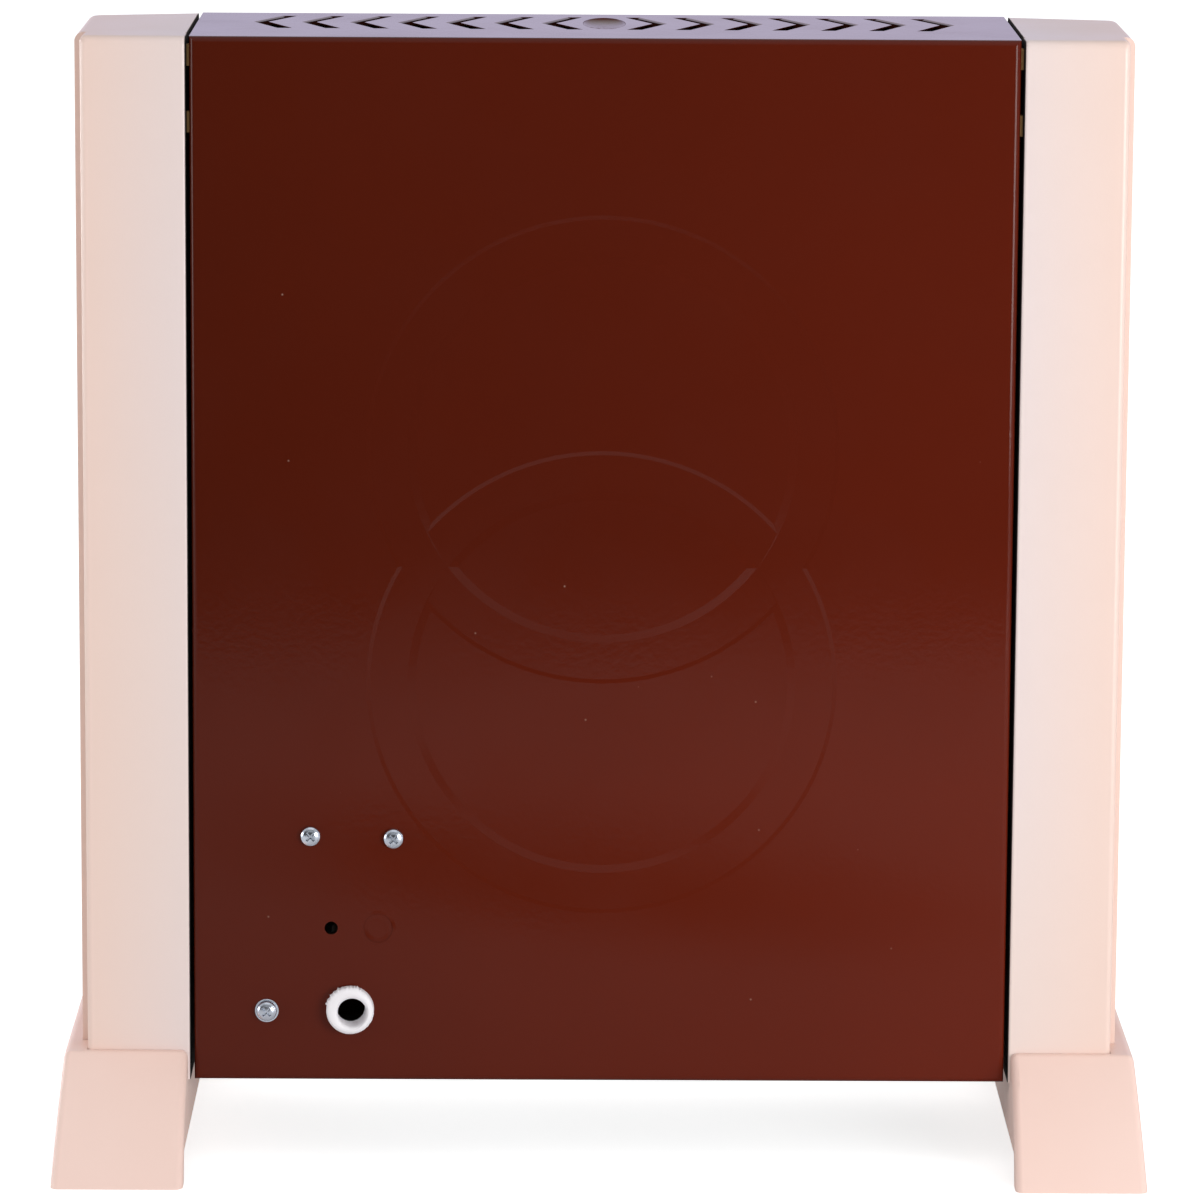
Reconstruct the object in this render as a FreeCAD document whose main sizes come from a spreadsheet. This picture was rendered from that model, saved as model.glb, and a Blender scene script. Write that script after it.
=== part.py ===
import FreeCAD, Part
import Sketcher
import math
import os
from types import SimpleNamespace

Vector = FreeCAD.Vector

# Driving dimensions of the heater in millimetres, angles in degrees.
# X runs across the heater, the front faces -Y, Z runs up from the floor.
SIZES = {
    # folded casing
    "casing_width": 317.2,
    "casing_depth": 104.0,
    "casing_height": 409.0,
    "floor_gap": 33.0,
    "sheet": 0.6,
    "bend": 2.4,
    "flange": 12.0,
    "flange_notch": 36.0,
    "lip_height": 16.0,
    "lip_return": 14.0,
    # pressed rings on the back
    "ring_outer": 91.2,
    "ring_inner": 72.0,
    "ring_height": 158.9,
    "ring_depth": 0.2,
    "ring_slope": 3.2,
    "ring_edge": 1.6,
    # chevron louvres and dish on the top
    "louvre_count": 7,
    "louvre_first": 24.5,
    "louvre_pitch": 18.7,
    "louvre_slot": 5.8,
    "louvre_run": 10.2,
    "louvre_reach": 25.8,
    "louvre_drop": 1.4,
    "louvre_back": 63.0,
    "dish_half_width": 8.4,
    "dish_half_length": 24.0,
    "dish_depth": 2.4,
    # fixings on the back
    "tip_screw_inset": 10.6,
    "tip_switch_z": 97.6,
    "tip_screw_pitch": 32.3,
    "tip_screw_fall": 0.8,
    "clamp_screw_x": 130.1,
    "clamp_screw_z": 28.2,
    "cord_x": 97.5,
    "cord_z": 28.8,
    "spare_hole_x": 104.9,
    "spare_hole_radius": 2.6,
    "earth_x": 86.7,
    "earth_z": 61.2,
    "earth_mark_radius": 5.75,
    "screw_radius": 2.0,
    "screw_hole_radius": 2.2,
    "screw_head_radius": 3.9,
    "screw_head_height": 2.7,
    "clamp_washer_radius": 4.6,
    "bush_outer_radius": 9.6,
    "bush_neck_radius": 7.8,
    "bush_barb_radius": 8.6,
    "bush_bore_radius": 5.6,
    "bush_proud": 5.0,
    "bush_inside": 2.4,
    # columns
    "column_gap": 1.5,
    "cover_width": 40.2,
    "column_step": 3.0,
    "column_wall": 2.2,
    "column_setback": 3.0,
    "column_slant": 11.0,
    "column_corner": 6.0,
    "column_edge": 3.5,
    "cover_depth": 15.5,
    "cover_edge": 2.2,
    "cover_crown": 3.0,
    "spacer_height": 8.0,
    "spacer_first": 3.5,
    "spacer_pitch": 25.5,
    "column_seat": 33.0,
    "hook_height": 10.0,
    "hook_reach": 6.0,
    "hook_slot_height": 29.0,
    # feet
    "foot_reach": 42.0,
    "foot_height": 45.0,
    "foot_flare": 3.0,
    "foot_ledge": 6.0,
    "foot_curve": 150.0,
    "foot_edge": 3.0,
    "foot_wall": 3.0,
    "foot_pad": 10.0,
    "foot_arch": 12.0,
    # radiant front
    "fascia_height": 104.0,
    "intake_count": 12,
    "intake_pitch": 14.0,
    "intake_inset": 20.0,
    "tube_count": 4,
    "tube_radius": 5.5,
    "tube_wall": 1.0,
    "tube_back": 24.0,
    "coil_radius": 3.2,
    "lead_radius": 0.8,
    "trough_back": 42.0,
    "trough_front": 26.0,
    "reflector_sheet": 0.6,
    "carrier_inset": 13.0,
    "cap_radius": 7.5,
    "cap_neck_radius": 6.0,
    "cap_length": 14.0,
    "cap_neck": 8.0,
    "guard_inset": 3.5,
    "guard_upright_radius": 1.5,
    "guard_wire_radius": 1.0,
    "guard_wire_count": 18,
    "guard_upright_count": 5,
    # rocker switches
    "rocker_first_x": 70.0,
    "rocker_pitch": 36.0,
    "rocker_z": 52.0,
    "rocker_half_height": 12.2,
    "rocker_half_width": 9.2,
    "rocker_tilt": 12.0,
    "rocker_pin_radius": 1.6,
    "rocker_clearance": 0.3,
    # tip-over switch
    "bracket_sheet": 1.2,
    "bracket_width": 43.0,
    "bracket_height": 22.0,
    "ear_reach": 34.0,
    "ear_span": 18.5,
    "pivot_radius": 1.5,
    "pivot_back": 26.0,
    "pivot_drop": 3.0,
    "hub_radius": 4.0,
    "pendulum_length": 26.0,
    "weight_radius": 7.0,
    "weight_width": 11.0,
    "running_clearance": 0.05,
}

doc = FreeCAD.newDocument("quartz_heater")
sheet = doc.addObject("Spreadsheet::Sheet", "sizes")
for row, (alias, number) in enumerate(SIZES.items(), 1):
    sheet.set(f"A{row}", alias)
    sheet.set(f"B{row}", str(number))
    sheet.setAlias(f"B{row}", alias)
doc.recompute()


class Size:
    """A length from the sheet, or a sum of such lengths, with the expression that gives it."""

    def __init__(self, text, value):
        self.text = text
        self.value = value

    def joined(self, sign, other, value):
        return Size(f"({self.text} {sign} {as_size(other).text})", value)

    def __add__(self, other):
        return self.joined("+", other, self.value + as_size(other).value)

    def __sub__(self, other):
        return self.joined("-", other, self.value - as_size(other).value)

    def __mul__(self, other):
        return self.joined("*", other, self.value * as_size(other).value)

    def __truediv__(self, other):
        return self.joined("/", other, self.value / as_size(other).value)

    def __radd__(self, other):
        return as_size(other) + self

    def __rsub__(self, other):
        return as_size(other) - self

    def __rmul__(self, other):
        return as_size(other) * self

    def __neg__(self):
        return Size(f"(0 - {self.text})", -self.value)


def as_size(thing):
    if isinstance(thing, Size):
        return thing
    return Size(f"({thing})", float(thing))


S = SimpleNamespace(**{alias: Size(f"sizes.{alias}", float(sheet.get(alias))) for alias in SIZES})


def bind(thing, prop, size):
    """Ties a property to the sheet."""
    thing.setExpression(prop, as_size(size).text)


# Helpers for sketched pieces

PLANES = {"top": "XY_Plane", "front": "XZ_Plane", "side": "YZ_Plane"}
nodes = []


def make_body(label, is_node=True):
    body = doc.addObject("PartDesign::Body", label)
    body.Label = label
    if is_node:
        nodes.append(body)
    return body


def origin_feature(body, role):
    return next(feature for feature in body.Origin.OriginFeatures if feature.Role == role)


def new_sketch(body, plane, at):
    """An empty sketch on a plane that is moved along its own axis to the given place."""
    sketch = body.newObject("Sketcher::SketchObject", "Outline")
    sketch.AttachmentSupport = (origin_feature(body, PLANES[plane]), [""])
    sketch.MapMode = "FlatFace"
    offset = -as_size(at) if plane == "front" else as_size(at)
    bind(sketch, "AttachmentOffset.Base.z", offset)
    return sketch


def pin_point(sketch, geometry, point, x, y):
    """Holds one point of a sketch at a place that comes from the sheet."""
    for kind, size in (("DistanceX", as_size(x)), ("DistanceY", as_size(y))):
        index = sketch.addConstraint(Sketcher.Constraint(kind, -1, 1, geometry, point, size.value))
        bind(sketch, f"Constraints[{index}]", size)


def arc_between(start, end, radius):
    """An arc that bulges to the right of its way, or to the left if the radius is negative."""
    chord = end.sub(start)
    middle = (start + end) * 0.5
    reach = math.sqrt(max(radius * radius - chord.Length * chord.Length / 4, 0.0))
    inward = Vector(-chord.y, chord.x, 0).normalize() * math.copysign(1, radius)
    centre = middle + inward * reach
    crest = centre - inward * abs(radius)
    return Part.Arc(start, crest, end)


def draw_loop(sketch, corners):
    """A closed loop; a corner with a third value bulges on its way to the next corner."""
    first = sketch.GeometryCount
    count = len(corners)
    places = [Vector(as_size(c[0]).value, as_size(c[1]).value, 0) for c in corners]
    starts = []
    for i, corner in enumerate(corners):
        start, end = places[i], places[(i + 1) % count]
        if len(corner) == 3:
            arc = arc_between(start, end, as_size(corner[2]).value)
            sketch.addGeometry(arc)
            begins_at_start = sketch.Geometry[first + i].StartPoint.distanceToPoint(start) < 1e-6
            starts.append(1 if begins_at_start else 2)
        else:
            sketch.addGeometry(Part.LineSegment(start, end))
            starts.append(1)
    for i in range(count):
        follower = (i + 1) % count
        sketch.addConstraint(
            Sketcher.Constraint("Coincident", first + i, 3 - starts[i], first + follower, starts[follower]))
    for i, corner in enumerate(corners):
        pin_point(sketch, first + i, starts[i], corner[0], corner[1])
        if len(corner) == 3:
            bulge = as_size(corner[2])
            radius = bulge if bulge.value > 0 else -bulge
            index = sketch.addConstraint(Sketcher.Constraint("Radius", first + i, radius.value))
            bind(sketch, f"Constraints[{index}]", radius)


def draw_circle(sketch, x, y, radius):
    x, y, radius = as_size(x), as_size(y), as_size(radius)
    geometry = sketch.addGeometry(Part.Circle(Vector(x.value, y.value, 0), Vector(0, 0, 1), radius.value))
    pin_point(sketch, geometry, 3, x, y)
    index = sketch.addConstraint(Sketcher.Constraint("Radius", geometry, radius.value))
    bind(sketch, f"Constraints[{index}]", radius)


def box(x0, x1, y0, y1):
    """Corners of a rectangle."""
    return [(x0, y0), (x1, y0), (x1, y1), (x0, y1)]


def circle(x, y, radius):
    return ("circle", x, y, radius)


def sketch_of(body, plane, at, loops):
    sketch = new_sketch(body, plane, at)
    for loop in loops:
        if loop[0] == "circle":
            draw_circle(sketch, *loop[1:])
        else:
            draw_loop(sketch, loop)
    return sketch


def extrude(kind, body, plane, loops, start, end):
    """Adds or cuts a sketch between two places along the plane's axis."""
    adds = kind == "PartDesign::Pad"
    grows_down = plane == "front"
    at = end if adds == grows_down else start
    before = body.Shape.Volume if body.Tip else 0.0
    sketch = sketch_of(body, plane, at, loops)
    feature = body.newObject(kind, "Extrusion")
    feature.Profile = sketch
    bind(feature, "Length", as_size(end) - start)
    doc.recompute()
    changed = abs(body.Shape.Volume - before)
    if changed < 1e-6:
        raise RuntimeError(f"{body.Label}: {feature.Name} changed nothing")
    return feature


def add(body, plane, loops, start, end):
    return extrude("PartDesign::Pad", body, plane, loops, start, end)


def cut(body, plane, loops, start, end):
    return extrude("PartDesign::Pocket", body, plane, loops, start, end)


def spin(body, plane, at, corners, level, upright=False, groove=False):
    """Turns a profile about a line across its plane at the given level."""
    before = body.Shape.Volume if body.Tip else 0.0
    sketch = sketch_of(body, plane, at, [corners])
    level = as_size(level)
    ends = ((level, 0), (level, 10)) if upright else ((0, level), (10, level))
    line = Part.LineSegment(*(Vector(as_size(x).value, as_size(y).value, 0) for x, y in ends))
    axis = sketch.addGeometry(line, True)
    for point, place in zip((1, 2), ends):
        pin_point(sketch, axis, point, *place)
    feature = body.newObject("PartDesign::Groove" if groove else "PartDesign::Revolution", "Turned")
    feature.Profile = sketch
    feature.ReferenceAxis = (sketch, ["Axis0"])
    feature.Angle = 360.0
    doc.recompute()
    if abs(body.Shape.Volume - before) < 1e-6:
        raise RuntimeError(f"{body.Label}: {feature.Name} changed nothing")
    return feature


def lies_on(bounds, **places):
    """True when an edge's bounding box is flat at each of the given places."""
    for axis, size in places.items():
        place = as_size(size).value
        low = getattr(bounds, axis.upper() + "Min")
        high = getattr(bounds, axis.upper() + "Max")
        if abs(low - place) > 0.01 or abs(high - place) > 0.01:
            return False
    return True


def round_edges(body, radius, *places):
    """Rounds every edge that lies on one of the given lines."""
    base = body.Tip
    names = [
        f"Edge{i}"
        for i, edge in enumerate(base.Shape.Edges, 1)
        if any(lies_on(edge.BoundBox, **place) for place in places)
    ]
    if not names:
        raise RuntimeError(f"{body.Label}: no edge to round")
    feature = body.newObject("PartDesign::Fillet", "Rounding")
    feature.Base = (base, names)
    bind(feature, "Radius", radius)
    doc.recompute()
    return feature


def both_sides(low, high):
    """A stretch along X and its mirror image."""
    return (low, high), (-as_size(high), -as_size(low))


def mirrored(body, label):
    """The left-hand twin of a right-hand piece."""
    twin = doc.addObject("Part::Mirroring", label)
    twin.Label = label
    twin.Source = body
    twin.Normal = (1, 0, 0)
    nodes.append(twin)
    return twin


def group(label, pieces):
    """Like pieces that share one name."""
    bundle = doc.addObject("Part::Compound", label)
    bundle.Label = label
    bundle.Links = pieces
    nodes.append(bundle)
    return bundle


# Places that several pieces share

half_width = S.casing_width / 2
rear = S.casing_depth / 2
front = -rear
base = S.floor_gap
top = S.floor_gap + S.casing_height
inner_rear = rear - S.sheet
inner_bend = S.bend - S.sheet
lip_bottom = top - S.lip_height
fascia_top = base + S.fascia_height
guard_y = front + S.guard_inset
tube_y = front + S.tube_back
tube_middle = (fascia_top + lip_bottom) / 2
tube_count = int(S.tube_count.value)
tube_pitch = (lip_bottom - fascia_top) / (tube_count + 0.25)
louvre_y = rear - S.louvre_back
tip_x = S.ring_outer - S.tip_screw_inset + S.tip_screw_pitch / 2
tip_z = base + S.tip_switch_z
cord_z = base + S.cord_z
clamp_z = base + S.clamp_screw_z
earth_z = base + S.earth_z
upright_count = int(S.guard_upright_count.value)
upright_reach = half_width - 8
tube_heights = [tube_middle + tube_pitch * (i - (tube_count - 1) / 2) for i in range(tube_count)]
upright_xs = [upright_reach * (2 * i / (upright_count - 1) - 1) for i in range(upright_count)]
base_screw_x = half_width - 30
base_screw_ys = [front + 9, rear - 8]
hook_front = rear - S.flange
hook_levels = [base + 41, top - S.flange_notch - S.hook_height - 4]


# Rear casing: one sheet folded into back, top, front lip and narrow flanges

def make_casing():
    body = make_body("rear_casing")
    add(body, "top", [box(-half_width, half_width, front, rear)], base, top)
    wall = S.sheet
    inside = box(-half_width + wall, half_width - wall, front + wall, inner_rear)
    cut(body, "top", [inside], base + wall, top - wall)
    round_edges(
        body, inner_bend,
        {"y": inner_rear, "z": top - wall}, {"y": inner_rear, "z": base + wall},
        {"y": front + wall, "z": top - wall},
        {"x": half_width - wall, "y": inner_rear}, {"x": -half_width + wall, "y": inner_rear})
    round_edges(
        body, S.bend,
        {"y": rear, "z": top}, {"y": rear, "z": base}, {"y": front, "z": top},
        {"x": half_width, "y": rear}, {"x": -half_width, "y": rear})
    trim_casing(body, wall)
    press_louvres(body, wall)
    press_dish(body, wall)
    press_rings(body)
    pierce_back(body)
    return body


def trim_casing(body, wall):
    """Cuts the hollow box down to flanges and a lip, with hooks for the columns."""
    for low, high in both_sides(half_width - wall, half_width + 1):
        cut(body, "side", [box(front - 1, hook_front, base - 1, top - wall)], low, high)
    cut(body, "front", [box(-half_width - 1, half_width + 1, base - 1, lip_bottom)], front - 1, front + wall)
    cut(body, "top", [box(-half_width - 1, half_width + 1, front - 1, hook_front)], base - 1, base + wall)
    add(body, "side", [box(front, front + S.lip_return, lip_bottom, lip_bottom + wall)],
        -half_width + wall, half_width - wall)
    round_edges(body, wall, {"y": front, "z": lip_bottom})
    for low, high in both_sides(half_width - wall, half_width + 1):
        for level in hook_levels:
            notch = box(hook_front - 1, rear - S.bend, level + S.hook_height, level + S.hook_height + 16)
            cut(body, "side", [notch], low, high)
    for low, high in both_sides(half_width - wall, half_width + S.hook_reach):
        for level in hook_levels:
            add(body, "top", [box(low, high, hook_front, hook_front + wall)], level, level + S.hook_height)
    cut(body, "top", [circle(x, guard_y, S.guard_upright_radius + 0.2) for x in upright_xs],
        lip_bottom - 1, lip_bottom + wall + 1)


def press_louvres(body, wall):
    """Chevron openings that point outward, each with two flaps pressed down from its outer edges."""
    tips = [S.louvre_first + S.louvre_pitch * i for i in range(int(S.louvre_count.value))]
    openings = []
    for side in (1, -1):
        for tip in tips:
            outline = [
                (tip, 0), (tip - S.louvre_run, 1), (tip - S.louvre_run - S.louvre_slot, 1),
                (tip - S.louvre_slot, 0), (tip - S.louvre_run - S.louvre_slot, -1), (tip - S.louvre_run, -1)]
            openings.append([(side * x, louvre_y + S.louvre_reach * way) for x, way in outline])
    cut(body, "top", openings, top - wall * 2, top)
    for side in (1, -1):
        for way in (1, -1):
            profiles = []
            for tip in tips:
                low = top - S.louvre_drop
                outer, inner = side * tip, side * (tip - S.louvre_slot)
                profiles.append([(outer, top), (inner, low), (inner, low - wall), (outer, top - wall)])
            flap = body.newObject("PartDesign::Pad", "Flaps")
            flap.Profile = sketch_of(body, "front", louvre_y, profiles)
            flap.UseCustomVector = True
            flap.AlongSketchNormal = True
            flap.Direction = (-side * S.louvre_run.value, way * S.louvre_reach.value, 0)
            bind(flap, "Direction.x", -side * S.louvre_run)
            bind(flap, "Direction.y", way * S.louvre_reach)
            bind(flap, "Length", S.louvre_reach)
            doc.recompute()


def press_dish(body, wall):
    """Oval dish in the middle of the louvres."""
    for kind, growth in (("Additive", wall), ("Subtractive", 0)):
        dish = body.newObject(f"PartDesign::{kind}Ellipsoid", "Dish")
        dish.AttachmentSupport = (origin_feature(body, "XY_Plane"), [""])
        dish.MapMode = "FlatFace"
        bind(dish, "AttachmentOffset.Base.y", louvre_y)
        bind(dish, "AttachmentOffset.Base.z", top)
        bind(dish, "Radius1", S.dish_depth + growth)
        bind(dish, "Radius2", S.dish_half_width + growth)
        bind(dish, "Radius3", S.dish_half_length + growth)
        dish.Angle1 = -90
        dish.Angle2 = 0
        doc.recompute()


def press_rings(body):
    """Two overlapping rings pressed a little inward, with a soft inner slope and a crisp outer edge."""
    centres = [base + S.ring_height, base + S.ring_height + S.ring_outer]
    for face, run_out, groove in ((inner_rear, S.sheet / 2, False), (rear, S.sheet, True)):
        for centre in centres:
            low, high = centre + S.ring_inner, centre + S.ring_outer
            band = [
                (face + run_out, low), (face, low), (face - S.ring_depth, low + S.ring_slope),
                (face - S.ring_depth * 0.8, high - S.ring_edge), (face, high), (face + run_out, high)]
            spin(body, "side", 0, band, centre, groove=groove)


def tip_screw_places():
    return [(tip_x + S.tip_screw_pitch * k, tip_z + S.tip_screw_fall * k) for k in (-0.5, 0.5)]


def pierce_back(body):
    """Holes of the back wall and the shallow mark of the weld stud."""
    holes = [circle(x, z, S.screw_hole_radius) for x, z in tip_screw_places()]
    holes.append(circle(S.clamp_screw_x, clamp_z, S.screw_hole_radius))
    holes.append(circle(S.cord_x, cord_z, S.bush_neck_radius + 0.1))
    holes.append(circle(S.spare_hole_x, earth_z, S.spare_hole_radius))
    cut(body, "front", holes, inner_rear - 1, rear + 1)
    cut(body, "front", [circle(S.earth_x, earth_z, S.earth_mark_radius)], rear - 0.25, rear)
    cut(body, "top", [circle(x, base_screw_ys[1], 1.75) for x in (base_screw_x, -base_screw_x)],
        base - 1, base + S.sheet + 1)


make_casing()


# Columns: a main moulding open at the rear and a narrower cover that closes it

column_inner = half_width + S.column_gap
cover_outer = column_inner + S.cover_width
column_outer = cover_outer + S.column_step
column_front = front + S.column_setback
column_shoulder = column_front + S.column_slant
cover_rear = rear - 0.5
split = cover_rear - S.cover_depth
carrier_face = guard_y + S.guard_upright_radius
column_screw_y = carrier_face + 9
column_screw_zs = [fascia_top + 33, lip_bottom - 31]
foot_screw_x = column_inner + S.cover_width / 2
foot_screw_ys = [column_front / 1.6, -column_front / 2.5]


def make_column():
    body = make_body("column_right")
    wall = S.column_wall
    outline = [
        (column_inner, column_front), (column_outer, column_shoulder),
        (column_outer, split), (column_inner, split)]
    add(body, "top", [outline], S.column_seat, top)
    round_edges(body, S.column_corner, {"x": column_outer, "y": column_shoulder})
    x0, x1 = column_inner + wall, column_outer - wall
    hollow = [
        (x0, column_front + wall * 1.2), (x1, column_shoulder + wall * 1.2), (x1, split + 1), (x0, split + 1)]
    cut(body, "top", [hollow], S.column_seat + wall, top - wall)
    names = [
        f"Edge{i}" for i, edge in enumerate(body.Tip.Shape.Edges, 1)
        if lies_on(edge.BoundBox, z=top)
        and not lies_on(edge.BoundBox, y=split)
        and not lies_on(edge.BoundBox, x=column_inner)]
    shoulder = body.Tip
    rounding = body.newObject("PartDesign::Fillet", "Shoulder")
    rounding.Base = (shoulder, names)
    bind(rounding, "Radius", S.column_edge)
    doc.recompute()
    holes = [circle(column_screw_y, z, S.screw_hole_radius) for z in column_screw_zs]
    cut(body, "side", holes, column_inner - 1, column_inner + wall + 1)
    bosses = [circle(foot_screw_x, y, 4) for y in foot_screw_ys]
    add(body, "top", bosses, S.column_seat + wall / 2, S.column_seat + 14)
    bores = [circle(foot_screw_x, y, 1.75) for y in foot_screw_ys]
    cut(body, "top", bores, S.column_seat - 1, S.column_seat + 15)
    return body


def make_cover():
    body = make_body("column_cover_right")
    wall = S.column_wall
    add(body, "top", [box(column_inner, cover_outer, split, cover_rear)], S.column_seat, top)
    round_edges(body, S.cover_crown, {"y": cover_rear, "z": top})
    round_edges(body, S.cover_edge, {"x": cover_outer, "y": cover_rear})
    round_edges(body, S.cover_edge / 2, {"x": column_inner, "y": cover_rear})
    x0, x1 = column_inner + wall, cover_outer - wall
    cut(body, "top", [box(x0, x1, split - 1, cover_rear - wall)], S.column_seat + wall, top - wall)
    tongue = wall * 0.7
    z0, z1 = S.column_seat + wall, top - wall
    outer = box(x0, cover_outer, z0, z1)
    inner = box(x0 + tongue, cover_outer - tongue, z0 + tongue, z1 - tongue)
    add(body, "front", [outer, inner], split - 5, split + 4)
    slots = [
        box(hook_front - 0.6, hook_front + S.sheet + 0.6, level - 4, level - 4 + S.hook_slot_height)
        for level in hook_levels]
    cut(body, "side", slots, column_inner - 1, column_inner + wall + tongue + 1)
    spacer_tops = [top - S.spacer_first, top - S.spacer_first - S.spacer_pitch]
    spacers = [box(cover_rear - 8, cover_rear - 3, z - S.spacer_height, z) for z in spacer_tops]
    add(body, "side", spacers, column_inner - S.column_gap + 0.1, column_inner + wall / 2)
    return body


mirrored(make_column(), "column_left")
mirrored(make_cover(), "column_cover_left")


# Feet: arched mouldings with sloping toes and a socket for the column

foot_inner = column_inner + 1
foot_outer = column_outer + S.foot_ledge + S.foot_flare
foot_toe = rear + S.foot_reach


def make_foot():
    body = make_body("foot_right")
    crown = cover_rear + 3
    arch_end = foot_toe - S.foot_pad
    spring = arch_end - 4
    profile = [
        (foot_toe, 0, S.foot_curve), (crown, S.foot_height), (-crown, S.foot_height, S.foot_curve),
        (-foot_toe, 0), (-arch_end, 0), (-spring, S.foot_arch), (spring, S.foot_arch), (arch_end, 0)]
    add(body, "side", [profile], foot_inner, foot_outer)
    slant = [
        (foot_outer + 1, -0.01), (foot_outer, -0.01),
        (foot_outer - S.foot_flare, S.foot_height + 0.01), (foot_outer + 1, S.foot_height + 0.01)]
    cut(body, "front", [slant], -foot_toe - 1, foot_toe + 1)
    names = [
        f"Edge{i}" for i, edge in enumerate(body.Tip.Shape.Edges, 1)
        if edge.BoundBox.ZMax > S.foot_height.value - 0.05]
    block = body.Tip
    rounding = body.newObject("PartDesign::Fillet", "Crest")
    rounding.Base = (block, names)
    bind(rounding, "Radius", S.foot_edge)
    doc.recompute()
    play = 0.2
    socket = [
        (foot_inner - 2, column_front - play * 4), (column_outer + play, column_shoulder - play),
        (column_outer + play, split + play), (cover_outer + play, split + play),
        (cover_outer + play, cover_rear + play), (foot_inner - 2, cover_rear + play)]
    cut(body, "top", [socket], S.column_seat, S.foot_height + 1)
    round_edges(body, S.column_corner, {"x": column_outer + play, "y": column_shoulder - play})
    wall = S.foot_wall
    floor = S.column_seat - wall
    wing = cover_rear + play + wall
    tip = foot_toe - wall * 1.6
    peak = S.foot_height - wall * 3
    hollow = [
        (tip, -1), (tip, 0.5), (wing + 1.5, peak), (wing, peak), (wing, floor),
        (-wing, floor), (-wing, peak), (-wing - 1.5, peak), (-tip, 0.5), (-tip, -1)]
    cut(body, "side", [hollow], foot_inner + wall, foot_outer - S.foot_flare - wall)
    holes = [circle(foot_screw_x, y, S.screw_hole_radius) for y in foot_screw_ys]
    cut(body, "top", holes, floor - 1, S.column_seat + 1)
    return body


mirrored(make_foot(), "foot_left")


# Screws

def screw(label, plane, across, along, seat, way, length, radius, head_radius, head_height):
    """A pan-head screw about a level line; its head stands on the seat, on the side that way names."""
    body = make_body(label, is_node=False)
    brim = head_height * 0.4
    steps = [(-length, 0), (-length, radius), (0, radius), (0, head_radius), (brim, head_radius)]
    for angle in (20, 40, 60, 75):
        rise, share = math.sin(math.radians(angle)), math.cos(math.radians(angle))
        steps.append((brim + (head_height - brim) * rise, head_radius * share))
    steps += [(head_height, head_radius * 0.12), (head_height, 0)]
    if plane == "side":
        profile = [(seat + way * y, along + r) for y, r in steps]
        spin(body, "side", across, profile, along)
    elif plane == "front":
        profile = [(seat + way * x, along + r) for x, r in steps]
        spin(body, "front", across, profile, along)
    else:
        profile = [(along + r, seat + way * z) for z, r in steps]
        spin(body, "front", across, profile, along, upright=True)
    return body


def slot_screw(body, x, z, crown, head_radius, head_height):
    """Cross recess, turned to stand as an X, in a head that faces the rear."""
    diagonal = math.sqrt(0.5)
    reach, half = head_radius * 0.55 * diagonal, head_radius * 0.12 * diagonal
    for hand in (1, -1):
        slit = [
            (x + (reach - half) * hand, z + reach + half), (x - (reach + half) * hand, z - reach + half),
            (x - (reach - half) * hand, z - reach - half), (x + (reach + half) * hand, z + reach - half)]
        cut(body, "front", [slit], crown - head_height * 0.5, crown + 0.1)


def back_screw(label, x, z, seat, length):
    head_radius, head_height = S.screw_head_radius, S.screw_head_height
    body = screw(label, "side", x, z, seat, 1, length, S.screw_radius, head_radius, head_height)
    slot_screw(body, x, z, seat + head_height, head_radius, head_height)
    return body


group("tip_switch_screws", [
    back_screw(f"tip_screw_{i}", x, z, rear, 7) for i, (x, z) in enumerate(tip_screw_places(), 1)])
washer = make_body("clamp_washer")
washer_radii = (S.clamp_washer_radius, S.screw_hole_radius)
add(washer, "front", [circle(S.clamp_screw_x, clamp_z, r) for r in washer_radii], rear, rear + 0.8)
nodes.append(back_screw("clamp_screw", S.clamp_screw_x, clamp_z, rear + 0.8, 9))

side_screws = []
for sign, hand in ((1, "r"), (-1, "l")):
    for i, z in enumerate(column_screw_zs, 1):
        seat = sign * (column_inner + S.column_wall)
        side_screws.append(screw(
            f"column_screw_{hand}{i}", "front", column_screw_y, z, seat, sign, 9, 1.75, 3.4, 2.2))
group("column_screws", side_screws)

under_screws = []
for sign, hand in ((1, "r"), (-1, "l")):
    for i, y in enumerate(foot_screw_ys, 1):
        under_screws.append(screw(
            f"foot_screw_{hand}{i}", "top", y, sign * foot_screw_x,
            S.column_seat - S.foot_wall, -1, 14, 1.75, 3.4, 2.2))
group("foot_screws", under_screws)


# Cord bush, cord clip, earth stud and nut on the back wall

bush = make_body("cord_bush")
outside = rear + S.bush_proud
inside_end = inner_rear - S.bush_inside
bush_profile = [
    (outside, S.bush_bore_radius + 0.6), (outside, S.bush_outer_radius - 1.2),
    (outside - 1.2, S.bush_outer_radius), (rear, S.bush_outer_radius), (rear, S.bush_neck_radius),
    (inner_rear, S.bush_neck_radius), (inner_rear, S.bush_barb_radius),
    (inside_end, S.bush_neck_radius - 0.6), (inside_end, S.bush_bore_radius),
    (outside - 0.6, S.bush_bore_radius)]
spin(bush, "side", S.cord_x, [(y, cord_z + r) for y, r in bush_profile], cord_z)

clip = make_body("cord_clamp")
loop_y, loop_z = inner_rear - 5.5, clamp_z + 12
clip_low, clip_high = S.clamp_screw_x - 6, S.clamp_screw_x + 6
add(clip, "side", [circle(loop_y, loop_z, 5.5)], clip_low, clip_high)
add(clip, "side", [box(inner_rear - 1.8, inner_rear, clamp_z - 6, loop_z)], clip_low, clip_high)
cut(clip, "side", [circle(loop_y, loop_z, 3.7)], clip_low - 1, clip_high + 1)
cut(clip, "front", [circle(S.clamp_screw_x, clamp_z, S.screw_radius)], inner_rear - 3, inner_rear + 1)

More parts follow.
